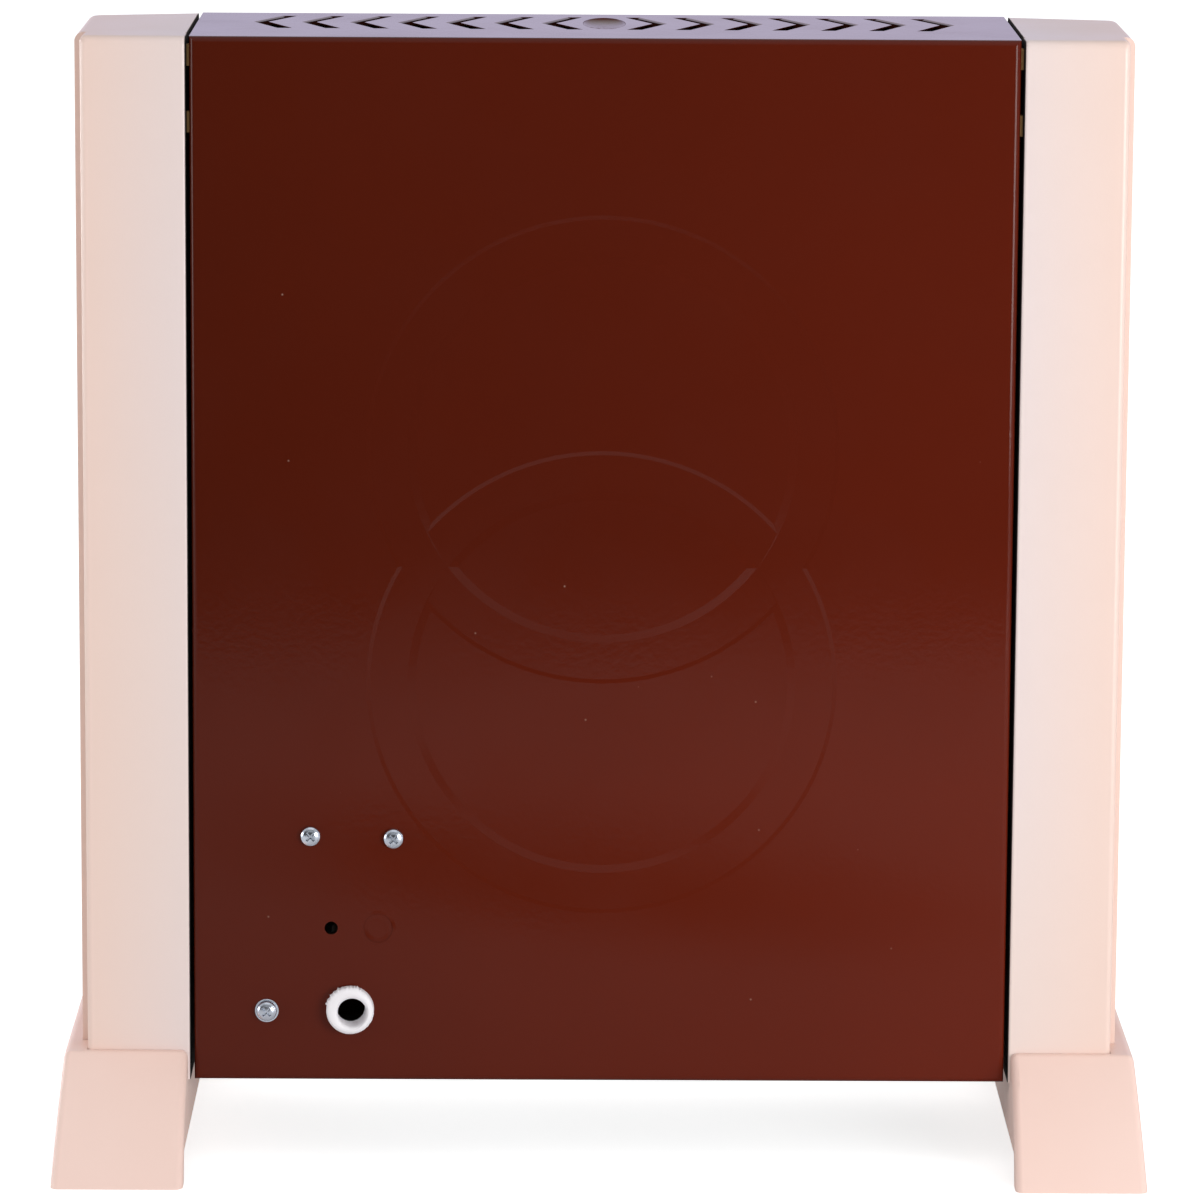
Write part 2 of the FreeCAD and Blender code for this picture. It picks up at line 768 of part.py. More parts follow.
stud = make_body("earth_stud")
stud_profile = [(-12, 0), (-12, 1.7), (-11.6, 2), (-1, 2), (-1, 3.5), (0, 3.5), (0, 0)]
spin(stud, "side", S.earth_x, [(inner_rear + y, earth_z + r) for y, r in stud_profile], earth_z)
nut = make_body("earth_nut")
nut_angles = [math.radians(60 * k) for k in range(6)]
hexagon = [(S.earth_x + 4.04 * math.cos(a), earth_z + 4.04 * math.sin(a)) for a in nut_angles]
add(nut, "front", [hexagon, circle(S.earth_x, earth_z, 2)], inner_rear - 4.4, inner_rear - 1)


# Front fascia and base plate

fascia_half = half_width - 0.5
fascia_depth = S.flange + 2
rocker_xs = [S.rocker_first_x, S.rocker_first_x + S.rocker_pitch]
rocker_z = base + S.rocker_z
pocket_x = S.rocker_half_width + S.rocker_clearance
pocket_z = S.rocker_half_height + S.rocker_clearance
shell_x, shell_z = pocket_x + 1.3, pocket_z + 1.3


def make_fascia():
    body = make_body("front_fascia")
    wall = S.sheet
    back = front + fascia_depth
    channel = [
        (front, base), (back, base), (back, base + wall), (front + wall, base + wall),
        (front + wall, fascia_top - wall), (back, fascia_top - wall), (back, fascia_top), (front, fascia_top)]
    add(body, "side", [channel], -fascia_half, fascia_half)
    round_edges(body, S.bend, {"y": front, "z": base}, {"y": front, "z": fascia_top})
    round_edges(
        body, inner_bend, {"y": front + wall, "z": base + wall}, {"y": front + wall, "z": fascia_top - wall})
    openings = [
        box(x - shell_x - 0.2, x + shell_x + 0.2, rocker_z - shell_z - 0.2, rocker_z + shell_z + 0.2)
        for x in rocker_xs]
    cut(body, "front", openings, front - 1, front + wall + 1)
    cut(body, "top", [circle(x, guard_y, S.guard_upright_radius + 0.2) for x in upright_xs],
        fascia_top - wall - 1, fascia_top + 1)
    cut(body, "top", [circle(x, base_screw_ys[0], 1.75) for x in (base_screw_x, -base_screw_x)],
        base - 1, base + wall + 1)
    return body


def make_base_plate():
    body = make_body("base_plate")
    half = half_width - S.bend - 0.5
    low, high = front + S.bend + 0.5, rear - S.bend - 0.5
    add(body, "top", [box(-half, half, low, high)], base + S.sheet, base + S.sheet * 2)
    first = S.intake_inset - half_width
    xs = [first + S.intake_pitch * i for i in range(int(S.intake_count.value))]
    slots = [box(x - 2.5, x + 2.5, -22, 14) for x in xs]
    cut(body, "top", slots, base, base + S.sheet * 3)
    pilots = [circle(x, y, 1.75) for x in (base_screw_x, -base_screw_x) for y in base_screw_ys]
    cut(body, "top", pilots, base, base + S.sheet * 3)
    return body


make_fascia()
make_base_plate()
plate_screws = []
for sign, hand in ((1, "r"), (-1, "l")):
    for i, y in enumerate(base_screw_ys, 1):
        plate_screws.append(screw(
            f"base_screw_{hand}{i}", "top", y, sign * base_screw_x, base, -1, 6, 1.75, 3.6, 0.9))
group("base_screws", plate_screws)


# Radiant unit: reflector, end plates, tubes, coils, caps, straps and guard

web = half_width - S.carrier_inset


def make_reflector():
    """One folded sheet with a flat-bottomed trough behind each tube and a skirt at each end."""
    body = make_body("reflector")
    crest, valley = front + S.trough_front, front + S.trough_back
    foot = tube_heights[0] - tube_pitch / 2
    skirt = front + S.lip_return - 1
    face = [(skirt, fascia_top), (crest, foot)]
    for i in range(tube_count):
        for way, share in ((valley, 0.28), (valley, 0.72), (crest, 1)):
            face.append((way, foot + tube_pitch * (i + share)))
    face.append((skirt, lip_bottom))
    back = [(y + S.reflector_sheet, z) for y, z in reversed(face)]
    add(body, "side", [face + back], -web + 0.2, web - 0.2)
    return body


def make_carrier():
    body = make_body("tube_carrier_right")
    wall = S.sheet
    tab_inner = half_width - wall
    section = [
        (web, carrier_face), (half_width, carrier_face), (half_width, carrier_face + 20),
        (tab_inner, carrier_face + 20), (tab_inner, carrier_face + wall), (web + wall, carrier_face + wall),
        (web + wall, front + S.trough_back + 6), (web, front + S.trough_back + 6)]
    add(body, "top", [section], fascia_top, lip_bottom)
    openings = [circle(tube_y, z, S.cap_neck_radius) for z in tube_heights]
    cut(body, "side", openings, web - 1, web + wall + 1)
    pilots = [circle(column_screw_y, z, 1.75) for z in column_screw_zs]
    cut(body, "side", pilots, tab_inner - 1, half_width + 1)
    return body


make_reflector()
mirrored(make_carrier(), "tube_carrier_left")
neck_end = web + S.cap_neck
cap_inner = web - S.cap_length
tube_end = web - 4
lead_end = neck_end + 3


def make_cap(label, z):
    body = make_body(label, is_node=False)
    profile = [
        (cap_inner, S.tube_radius), (cap_inner, S.cap_radius - 0.8), (cap_inner + 0.8, S.cap_radius),
        (web, S.cap_radius), (web, S.cap_neck_radius), (neck_end, S.cap_neck_radius),
        (neck_end, S.lead_radius), (tube_end, S.lead_radius), (tube_end, S.tube_radius)]
    spin(body, "front", tube_y, [(x, z + r) for x, r in profile], z)
    return body


caps = [make_cap(f"end_cap_{i}", z) for i, z in enumerate(tube_heights, 1)]
cap_group = group("end_caps_right", caps)
mirrored(cap_group, "end_caps_left")

for i, z in enumerate(tube_heights, 1):
    tube = make_body(f"quartz_tube_{i}")
    rings = [circle(tube_y, z, S.tube_radius), circle(tube_y, z, S.tube_radius - S.tube_wall)]
    add(tube, "side", [rings[0], rings[1]], -tube_end, tube_end)
    coil = make_body(f"heating_coil_{i}")
    coil_end = cap_inner - 2
    coil_profile = [
        (-lead_end, 0), (-lead_end, S.lead_radius), (-coil_end, S.lead_radius), (-coil_end, S.coil_radius),
        (coil_end, S.coil_radius), (coil_end, S.lead_radius), (lead_end, S.lead_radius), (lead_end, 0)]
    spin(coil, "front", tube_y, [(x, z + r) for x, r in coil_profile], z)


def make_strap(label, side, heights):
    """A strip that joins the coil ends of several tubes."""
    body = make_body(label)
    outline = box(tube_y - 3, tube_y + 3, heights[0] - 6, heights[-1] + 6)
    holes = [circle(tube_y, z, S.lead_radius) for z in heights]
    low, high = (neck_end, neck_end + 0.8) if side > 0 else (-neck_end - 0.8, -neck_end)
    add(body, "side", [outline] + holes, low, high)
    return body


pair = tube_count // 2
make_strap("strap_lower", 1, tube_heights[:pair])
make_strap("strap_upper", 1, tube_heights[pair:])
make_strap("strap_common", -1, tube_heights)


def make_guard():
    body = make_body("wire_guard")
    add(body, "top", [circle(x, guard_y, S.guard_upright_radius) for x in upright_xs],
        fascia_top - 4, lip_bottom + 4)
    wire_y = guard_y - S.guard_upright_radius - S.guard_wire_radius + 0.2
    count = int(S.guard_wire_count.value)
    low, high = fascia_top + 9, lip_bottom - 9
    heights = [low + (high - low) * (i / (count - 1)) for i in range(count)]
    reach = half_width - 4
    add(body, "side", [circle(wire_y, z, S.guard_wire_radius) for z in heights], -reach, reach)
    return body


make_guard()


# Rocker switches in the fascia, modelled off

axis_y = front + 0.5


def make_housing(label, x):
    body = make_body(label)
    bezel = box(x - shell_x - 2, x + shell_x + 2, rocker_z - shell_z - 1.7, rocker_z + shell_z + 1.7)
    add(body, "front", [bezel], front - 2, front)
    shell = box(x - shell_x, x + shell_x, rocker_z - shell_z, rocker_z + shell_z)
    add(body, "front", [shell], front, front + 20)
    pocket = box(x - pocket_x, x + pocket_x, rocker_z - pocket_z, rocker_z + pocket_z)
    cut(body, "front", [pocket], front - 3, front + 8)
    bore = circle(axis_y, rocker_z, S.rocker_pin_radius + S.running_clearance)
    cut(body, "side", [bore], x - pocket_x - 1, x + pocket_x + 1)
    round_edges(
        body, 0.8, {"y": front - 2, "x": x - shell_x - 2}, {"y": front - 2, "x": x + shell_x + 2},
        {"y": front - 2, "z": rocker_z - shell_z - 1.7}, {"y": front - 2, "z": rocker_z + shell_z + 1.7})
    blades = [box(x - 3.15, x + 3.15, rocker_z + k - 0.4, rocker_z + k + 0.4) for k in (-8, 8)]
    add(body, "front", blades, front + 19, front + 29)
    return body


def make_rocker(label, x):
    """A rocker drawn about its own pin and then tilted to the off position."""
    body = make_body(label)
    reach = S.rocker_half_height
    profile = [
        (-0.34 * reach, 0.94 * reach), (-0.25 * reach, 0), (-0.34 * reach, -0.94 * reach),
        (0.17 * reach, -0.98 * reach), (0.37 * reach, -0.5 * reach),
        (0.37 * reach, 0.5 * reach), (0.17 * reach, 0.98 * reach)]
    add(body, "side", [profile], -S.rocker_half_width, S.rocker_half_width)
    add(body, "side", [circle(0, 0, S.rocker_pin_radius)], -pocket_x - 0.7, pocket_x + 0.7)
    bind(body, "Placement.Base.x", x)
    bind(body, "Placement.Base.y", axis_y)
    bind(body, "Placement.Base.z", rocker_z)
    body.Placement.Rotation = FreeCAD.Rotation(Vector(1, 0, 0), S.rocker_tilt.value)
    bind(body, "Placement.Rotation.Angle", S.rocker_tilt)
    doc.recompute()
    return body


for i, x in enumerate(rocker_xs, 1):
    make_housing(f"rocker_housing_{i}", x)
    make_rocker(f"rocker_{i}", x)


# Tip-over cut-out on the two upper screws of the back

pivot_y = inner_rear - S.pivot_back
pivot_z = tip_z - S.pivot_drop
ear_inner = S.ear_span / 2


def make_bracket():
    body = make_body("tip_switch_bracket")
    x, wall = tip_x, S.bracket_sheet
    low, high = tip_z - S.bracket_height / 2, tip_z + S.bracket_height / 2
    half = S.bracket_width / 2
    section = [
        (x - half, inner_rear), (x - half, inner_rear - wall), (x - ear_inner - wall, inner_rear - wall),
        (x - ear_inner - wall, inner_rear - S.ear_reach), (x - ear_inner, inner_rear - S.ear_reach),
        (x - ear_inner, inner_rear - wall), (x + ear_inner, inner_rear - wall),
        (x + ear_inner, inner_rear - S.ear_reach), (x + ear_inner + wall, inner_rear - S.ear_reach),
        (x + ear_inner + wall, inner_rear - wall), (x + half, inner_rear - wall), (x + half, inner_rear)]
    add(body, "top", [section], low, high)
    cut(body, "side", [circle(pivot_y, pivot_z, S.pivot_radius)], x - half, x + half)
    cut(body, "front", [circle(sx, z, S.screw_radius) for sx, z in tip_screw_places()],
        inner_rear - S.ear_reach, inner_rear + 1)
    return body


def make_pivot():
    body = make_body("pivot_pin")
    reach = ear_inner + S.bracket_sheet + 2
    add(body, "side", [circle(pivot_y, pivot_z, S.pivot_radius)], tip_x - reach, tip_x + reach)
    return body


def make_pendulum():
    body = make_body("tip_pendulum")
    x = tip_x
    hub_half = ear_inner - 0.4
    low = pivot_z - S.pendulum_length
    add(body, "side", [circle(pivot_y, pivot_z, S.hub_radius)], x - hub_half, x + hub_half)
    add(body, "side", [box(pivot_y - 2.5, pivot_y + 2.5, low, pivot_z)], x - 3, x + 3)
    add(body, "side", [circle(pivot_y, low, S.weight_radius)], x - S.weight_width / 2, x + S.weight_width / 2)
    bore = circle(pivot_y, pivot_z, S.pivot_radius + S.running_clearance)
    cut(body, "side", [bore], x - hub_half - 1, x + hub_half + 1)
    notch_top = pivot_z + S.hub_radius
    notch = [(pivot_y - 1.6, notch_top + 1), (pivot_y, notch_top - 0.9), (pivot_y + 1.6, notch_top + 1)]
    cut(body, "side", [notch], x - hub_half - 1, x + hub_half + 1)
    return body


def make_microswitch():
    body = make_body("tip_microswitch")
    x = tip_x - ear_inner
    low = pivot_z + S.hub_radius + 2
    add(body, "top", [box(x, x + 6.4, pivot_y - 10, pivot_y + 10)], low, low + 10)
    add(body, "top", [circle(x + 3.2, pivot_y, 1.2)], low - 1.7, low + 1)
    return body


make_bracket()
make_pivot()
make_pendulum()
make_microswitch()


# Terminal block on the base plate

block_x, block_y, block_z = 40.0, rear - 22, base + S.sheet * 2
tunnel_z = block_z + 7
tunnel_xs = [block_x + k for k in (-12, 0, 12)]
block = make_body("terminal_block")
add(block, "top", [box(block_x - 18, block_x + 18, block_y - 10, block_y + 10)], block_z, block_z + 16)
cut(block, "front", [circle(x, tunnel_z, 2) for x in tunnel_xs], block_y - 11, block_y + 11)
wells = [circle(x, block_y + k, 2.2) for x in tunnel_xs for k in (-5, 5)]
cut(block, "top", wells, block_z + 10, block_z + 17)


# Leads inside the lower compartment

def lead(places, radius=1.1, bend=4.0):
    """A round lead along straight runs joined by arcs."""
    points = [Vector(*(as_size(value).value for value in place)) for place in places]
    edges = []
    begin = points[0]
    for before, corner, after in zip(points, points[1:], points[2:]):
        way_in = (corner - before).normalize()
        way_out = (after - corner).normalize()
        half_turn = way_in.getAngle(way_out) / 2
        setback = bend * math.tan(half_turn)
        arc_in, arc_out = corner - way_in * setback, corner + way_out * setback
        inward = (way_out - way_in).normalize()
        crest = corner + inward * (bend / math.cos(half_turn) - bend)
        edges += [Part.makeLine(begin, arc_in), Part.Arc(arc_in, crest, arc_out).toShape()]
        begin = arc_out
    edges.append(Part.makeLine(begin, points[-1]))
    path = Part.Wire(edges)
    ring = Part.Wire(Part.makeCircle(radius, points[0], points[1] - points[0]))
    return path.makePipeShell([ring], True, False)


mouth = block_y - 8
blade_y = front + 29
blade_low, blade_high = rocker_z - 8, rocker_z + 8
switch_y = pivot_y - 10
switch_x = tip_x - ear_inner
riser_x = switch_x - 5.5
switch_z = pivot_z + S.hub_radius + 6
strap_x = neck_end + 0.4
first_low = tube_heights[0] - 6
upper_low = tube_heights[pair] - 6
rx1, rx2 = rocker_xs
routes = [
    [(tunnel_xs[2], mouth, tunnel_z), (tunnel_xs[2], 4, tunnel_z), (riser_x, 4, tunnel_z),
     (riser_x, 4, switch_z), (switch_x + 5, 4, switch_z), (switch_x + 5, switch_y, switch_z)],
    [(switch_x + 2, switch_y, switch_z + 3), (switch_x + 2, -5, switch_z + 3),
     (switch_x + 2, -5, blade_high + 22), (rx1 - 1.6, -5, blade_high + 22), (rx1 - 1.6, -5, blade_high),
     (rx1 - 1.6, blade_y, blade_high)],
    [(rx1 + 1.6, blade_y, blade_high), (rx1 + 1.6, blade_y + 8, blade_high), (rx2, blade_y + 8, blade_high),
     (rx2, blade_y, blade_high)],
    [(rx1, blade_y, blade_low), (rx1, blade_y + 9, blade_low), (rx1, blade_y + 9, blade_low - 15),
     (strap_x, blade_y + 9, blade_low - 15), (strap_x, tube_y, blade_low - 15), (strap_x, tube_y, first_low)],
    [(rx2, blade_y, blade_low), (rx2, -8, blade_low), (strap_x - 3.5, -8, blade_low),
     (strap_x - 3.5, -8, upper_low - 14), (strap_x, tube_y, upper_low - 14), (strap_x, tube_y, upper_low)],
    [(tunnel_xs[0], mouth, tunnel_z), (tunnel_xs[0], -4, tunnel_z), (-strap_x, -4, tunnel_z),
     (-strap_x, tube_y, tunnel_z), (-strap_x, tube_y, first_low)],
    [(tunnel_xs[1], mouth, tunnel_z), (tunnel_xs[1], 12, tunnel_z), (tunnel_xs[1], 12, earth_z),
     (S.earth_x, 12, earth_z), (S.earth_x, inner_rear - 12, earth_z)],
]
wiring = doc.addObject("Part::Feature", "wiring")
wiring.Label = "wiring"
wiring.Shape = Part.makeCompound([lead(route) for route in routes])
nodes.append(wiring)


# Checks and export

doc.recompute()
for thing in doc.Objects:
    if any(word in thing.State for word in ("Invalid", "Error")):
        raise RuntimeError(f"{thing.Label}: {thing.State}")
os.makedirs("parts", exist_ok=True)
for node in nodes:
    if node.Shape.isNull() or not node.Shape.isValid():
        raise RuntimeError(f"{node.Label}: no valid shape")
    node.Shape.exportStep(f"parts/{node.Label}.step")
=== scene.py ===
import math

import bmesh
import bpy
from mathutils import Matrix, Vector


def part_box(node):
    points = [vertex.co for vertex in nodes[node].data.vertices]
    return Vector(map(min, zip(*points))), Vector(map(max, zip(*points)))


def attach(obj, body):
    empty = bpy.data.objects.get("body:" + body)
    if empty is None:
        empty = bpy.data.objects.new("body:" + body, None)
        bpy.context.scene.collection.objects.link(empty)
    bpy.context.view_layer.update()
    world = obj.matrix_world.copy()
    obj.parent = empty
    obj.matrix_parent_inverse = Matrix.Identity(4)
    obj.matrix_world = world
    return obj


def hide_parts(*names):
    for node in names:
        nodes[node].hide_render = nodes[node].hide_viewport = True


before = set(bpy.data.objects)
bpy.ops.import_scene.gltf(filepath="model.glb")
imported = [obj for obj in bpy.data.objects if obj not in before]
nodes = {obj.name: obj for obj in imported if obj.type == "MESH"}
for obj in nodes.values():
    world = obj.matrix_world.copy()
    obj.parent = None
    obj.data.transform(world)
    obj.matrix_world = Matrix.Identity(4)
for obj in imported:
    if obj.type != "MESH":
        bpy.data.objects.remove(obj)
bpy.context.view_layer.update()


# Finishes

def screen(red, green, blue):
    """Linear colour of an 8-bit screen colour."""
    shares = [v / 255 for v in (red, green, blue)]
    return [s / 12.92 if s <= 0.04045 else ((s + 0.055) / 1.055) ** 2.4 for s in shares] + [1.0]


def grey(level):
    return (level, level, level, 1)


def feed(owner, value, socket):
    """Links an output to a socket, or sets the socket where the value is the same all over."""
    if isinstance(value, bpy.types.NodeSocket):
        owner.node_tree.links.new(value, socket)
    else:
        socket.default_value = value


def put(owner, kind, **values):
    """Adds a node to a finish or to the surround, and feeds its inputs by name."""
    node = owner.node_tree.nodes.new(kind)
    for name, value in values.items():
        feed(owner, value, node.inputs[name.replace("_", " ").title()])
    return node


def shader_input(finish, name):
    return finish.node_tree.nodes["Principled BSDF"].inputs[name]


def shade(finish, name, value):
    """Feeds one input of the finish's shader."""
    feed(finish, value, shader_input(finish, name))


def start_finish(name, metallic=0.0):
    finish = bpy.data.materials.new(name)
    finish.use_nodes = True
    shade(finish, "Metallic", metallic)
    return finish


def position(finish):
    return put(finish, "ShaderNodeTexCoord").outputs["Object"]


def coordinate(finish, axis):
    return put(finish, "ShaderNodeSeparateXYZ", vector=position(finish)).outputs[axis]


def mottle(finish, scale, detail=3.0, stretch=(1, 1, 1)):
    """A noise in waves per metre, with an optional stretch."""
    mapping = put(finish, "ShaderNodeMapping", vector=position(finish), scale=stretch)
    noise = put(finish, "ShaderNodeTexNoise", vector=mapping.outputs["Vector"], scale=scale, detail=detail)
    return noise.outputs["Fac"]


def cells(finish, scale):
    return put(finish, "ShaderNodeTexVoronoi", vector=position(finish), scale=scale).outputs


def ramp(owner, factor, *stops):
    """Colours along a factor; each stop is a place from 0 to 1 and a colour."""
    node = put(owner, "ShaderNodeValToRGB", fac=factor)
    points = node.color_ramp.elements
    while len(points) < len(stops):
        points.new(0.5)
    for point, (place, colour) in zip(points, stops):
        point.position = place
        point.color = colour
    return node.outputs["Color"]


def rescale(owner, factor, low, high, to_low=0.0, to_high=1.0):
    """A factor between two values drawn out to between two others, and held at their ends."""
    node = put(
        owner, "ShaderNodeMapRange", value=factor, from_min=low, from_max=high, to_min=to_low, to_max=to_high)
    return node.outputs["Result"]


def spread(finish, noise, low, high):
    """A noise, which mostly stays between 0.3 and 0.7, drawn out to a range of values."""
    return rescale(finish, noise, 0.3, 0.7, low, high)


def reckon(owner, operation, first, second=0.0):
    node = put(owner, "ShaderNodeMath")
    node.operation = operation
    feed(owner, first, node.inputs[0])
    feed(owner, second, node.inputs[1])
    return node.outputs[0]


def blend(owner, factor, first, second, manner="MIX"):
    """Mixes two colours, either of which may be an output or a fixed colour."""
    node = put(owner, "ShaderNodeMix")
    node.data_type = "RGBA"
    node.blend_type = manner
    for place, value in ((0, factor), (6, first), (7, second)):
        feed(owner, value, node.inputs[place])
    return node.outputs[2]


def roughen(finish, height, strength, distance):
    """A bump from a height pattern, its depth in metres, on top of any bump that is there already."""
    bump = put(finish, "ShaderNodeBump", height=height, strength=strength, distance=distance)
    normal = shader_input(finish, "Normal")
    if normal.is_linked:
        feed(finish, normal.links[0].from_socket, bump.inputs["Normal"])
    feed(finish, bump.outputs["Normal"], normal)


def along(finish, axis, low, high):
    """How far a place lies between two distances along an axis, from 0 to 1."""
    return rescale(finish, coordinate(finish, axis), low, high)


def outward(finish, axis, low, high):
    """How far a place lies between two distances from the heater's middle, either way along an axis."""
    return rescale(finish, reckon(finish, "ABSOLUTE", coordinate(finish, axis)), low, high)


def around(finish, x, z, radius):
    """Distance from an axis that runs front to back, as a share of a radius."""
    mapping = put(
        finish, "ShaderNodeMapping", vector=position(finish), location=(x, 0, z), scale=(radius, 1e6, radius))
    mapping.vector_type = "TEXTURE"
    length = put(finish, "ShaderNodeVectorMath", vector=mapping.outputs["Vector"])
    length.operation = "LENGTH"
    return length.outputs["Value"]


def brown_enamel():
    """Red-brown stoved enamel with a fine orange peel, a few dust nibs and painted light that lightens it
    towards one side and towards the bottom.

    The weld of the earth stud inside shows through as a faint ring. The bent-down louvres are dull and
    painted near black as painted shade."""
    finish = start_finish("brown_enamel")
    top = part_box("rear_casing")[1][2]
    not_bent_down = along(finish, "Z", top - 0.0004, top - 0.00005)
    on_back_or_front = outward(finish, "Y", 0.045, 0.047)
    on_dish = outward(finish, "X", 0.0086, 0.0084)
    open_face = reckon(finish, "MAXIMUM", reckon(finish, "MAXIMUM", not_bent_down, on_back_or_front), on_dish)
    shade(finish, "Specular IOR Level", rescale(finish, open_face, 0, 1, 0.0, 0.16))

    # Painted light: the enamel is painted lighter towards -X, the key lamp's side, and towards the bottom,
    # where it mirrors the lit floor.
    across = along(finish, "X", -0.16, 0.16)
    upper_tone_painted_light = ramp(finish, across, (0.0, screen(89, 27, 13)), (1.0, screen(75, 23, 10)))
    lower_tone_painted_light = ramp(finish, across, (0.0, screen(99, 31, 15)), (1.0, screen(81, 25, 11)))
    coat_with_painted_light = blend(finish, along(finish, "Z", 0.15, 0.25), lower_tone_painted_light, upper_tone_painted_light)
    cloud = ramp(finish, mottle(finish, 6, 4), (0.3, grey(0.96)), (0.7, grey(1.04)))
    clouded = blend(finish, 1.0, coat_with_painted_light, cloud, "MULTIPLY")
    nib = ramp(finish, cells(finish, 42)["Distance"], (0.0, grey(0.5)), (0.022, grey(0)))
    nibbed = blend(finish, nib, clouded, screen(196, 160, 142))
    # Painted shade: the bent-down louvres are painted near black for the shade inside the casing.
    shade(finish, "Base Color", blend(finish, open_face, screen(38, 14, 9), nibbed))

    shade(finish, "Roughness", spread(finish, mottle(finish, 30, 5), 0.09, 0.15))
    roughen(finish, mottle(finish, 420, 2), 0.14, 0.0002)
    low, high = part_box("earth_stud")
    weld = around(finish, (low[0] + high[0]) / 2, (low[2] + high[2]) / 2, 0.0078)
    ring = ramp(finish, weld, (0.0, grey(0.4)), (0.5, grey(0.3)), (0.7, grey(1)), (0.9, grey(0)))
    roughen(finish, ring, 1.0, 0.00011)
    return finish


def moulded_plastic(name, pale, deep, gloss_low, gloss_high):
    """Plastic moulding with faint flow marks and a fine skin."""
    finish = start_finish(name)
    flow = mottle(finish, 9, 5, (1, 1, 0.35))
    shade(finish, "Base Color", ramp(finish, flow, (0.3, pale), (0.7, deep)))
    shade(finish, "Roughness", spread(finish, mottle(finish, 60, 4), gloss_low, gloss_high))
    roughen(finish, mottle(finish, 900, 3), 0.12, 0.0002)
    return finish


def cream_plastic():
    """Column plastic with a painted glow of light, cooler beside the casing and pinker outward.

    Beside the casing the plastic is matt and carries painted shade: its wall is painted near black and its
    spacers tan, as cream plastic in shade."""
    finish = start_finish("cream_plastic")
    cloud = mottle(finish, 6, 2, (1, 1, 0.4))
    inner_painted_cool = ramp(finish, cloud, (0.3, screen(231, 215, 213)), (0.7, screen(236, 215, 206)))
    outer = ramp(finish, cloud, (0.3, screen(239, 212, 201)), (0.7, screen(237, 210, 198)))
    # Painted light: the face is painted pinker outward, where light shines through the plastic, and cooler
    # beside the casing.
    face = blend(finish, outward(finish, "X", 0.163, 0.196), inner_painted_cool, outer)
    # Painted shade: the wall beside the casing is painted near black, and its spacers tan for cream plastic
    # in shade.
    spacer_in_painted_shade = ramp(finish, cloud, (0.35, screen(146, 112, 70)), (0.65, screen(168, 132, 84)))
    dark_gap_painted_shade = blend(finish, outward(finish, "X", 0.1595, 0.1598), spacer_in_painted_shade, screen(34, 24, 20))
    outside = outward(finish, "X", 0.1602, 0.1605)
    shade(finish, "Base Color", blend(finish, outside, dark_gap_painted_shade, face))
    gloss = spread(finish, mottle(finish, 40, 2), 0.28, 0.34)
    shade(finish, "Roughness", blend(finish, outside, grey(1), gloss))
    roughen(finish, mottle(finish, 900, 3), 0.10, 0.0002)
    return finish


def plated(name, pale, deep, gloss_low, gloss_high, scale=120, stretch=(1, 1, 1)):
    """Bright metal with a cloudy surface or, where it is stretched, rolling marks."""
    finish = start_finish(name, metallic=1.0)
    cloud = mottle(finish, scale, 4, stretch)
    shade(finish, "Base Color", ramp(finish, cloud, (0.3, pale), (0.7, deep)))
    shade(finish, "Roughness", spread(finish, cloud, gloss_low, gloss_high))
    roughen(finish, cloud, 0.08, 0.0002)
    return finish


def galvanised_sheet():
    finish = start_finish("galvanised_sheet", metallic=1.0)
    spangle = cells(finish, 140)["Color"]
    shade(finish, "Base Color", ramp(
        finish, spangle, (0.2, (0.42, 0.43, 0.45, 1)), (0.8, (0.62, 0.63, 0.64, 1))))
    shade(finish, "Roughness", spread(finish, mottle(finish, 200), 0.32, 0.5))
    return finish


def quartz_glass():
    finish = start_finish("quartz_glass")
    shade(finish, "Transmission Weight", 1.0)
    shade(finish, "IOR", 1.46)
    haze = mottle(finish, 120, 3, (0.05, 1, 1))
    shade(finish, "Base Color", ramp(finish, haze, (0.3, grey(1)), (0.7, (0.93, 0.94, 0.96, 1))))
    shade(finish, "Roughness", spread(finish, haze, 0.02, 0.12))
    return finish


def fired_ceramic():
    finish = start_finish("ceramic")
    grain = mottle(finish, 300, 5)
    shade(finish, "Base Color", ramp(
        finish, grain, (0.3, (0.78, 0.74, 0.66, 1)), (0.7, (0.88, 0.86, 0.80, 1))))
    shade(finish, "Roughness", spread(finish, mottle(finish, 150), 0.5, 0.7))
    roughen(finish, mottle(finish, 900, 3), 0.25, 0.0003)
    return finish


def lead_sleeve():
    """Sleeve of braided glass threads."""
    finish = start_finish("lead_sleeve")
    weave = cells(finish, 1400)["Distance"]
    shade(finish, "Base Color", ramp(
        finish, weave, (0.1, (0.72, 0.70, 0.66, 1)), (0.7, (0.46, 0.44, 0.41, 1))))
    shade(finish, "Roughness", spread(finish, mottle(finish, 300), 0.6, 0.8))
    roughen(finish, weave, 0.4, 0.0003)
    return finish


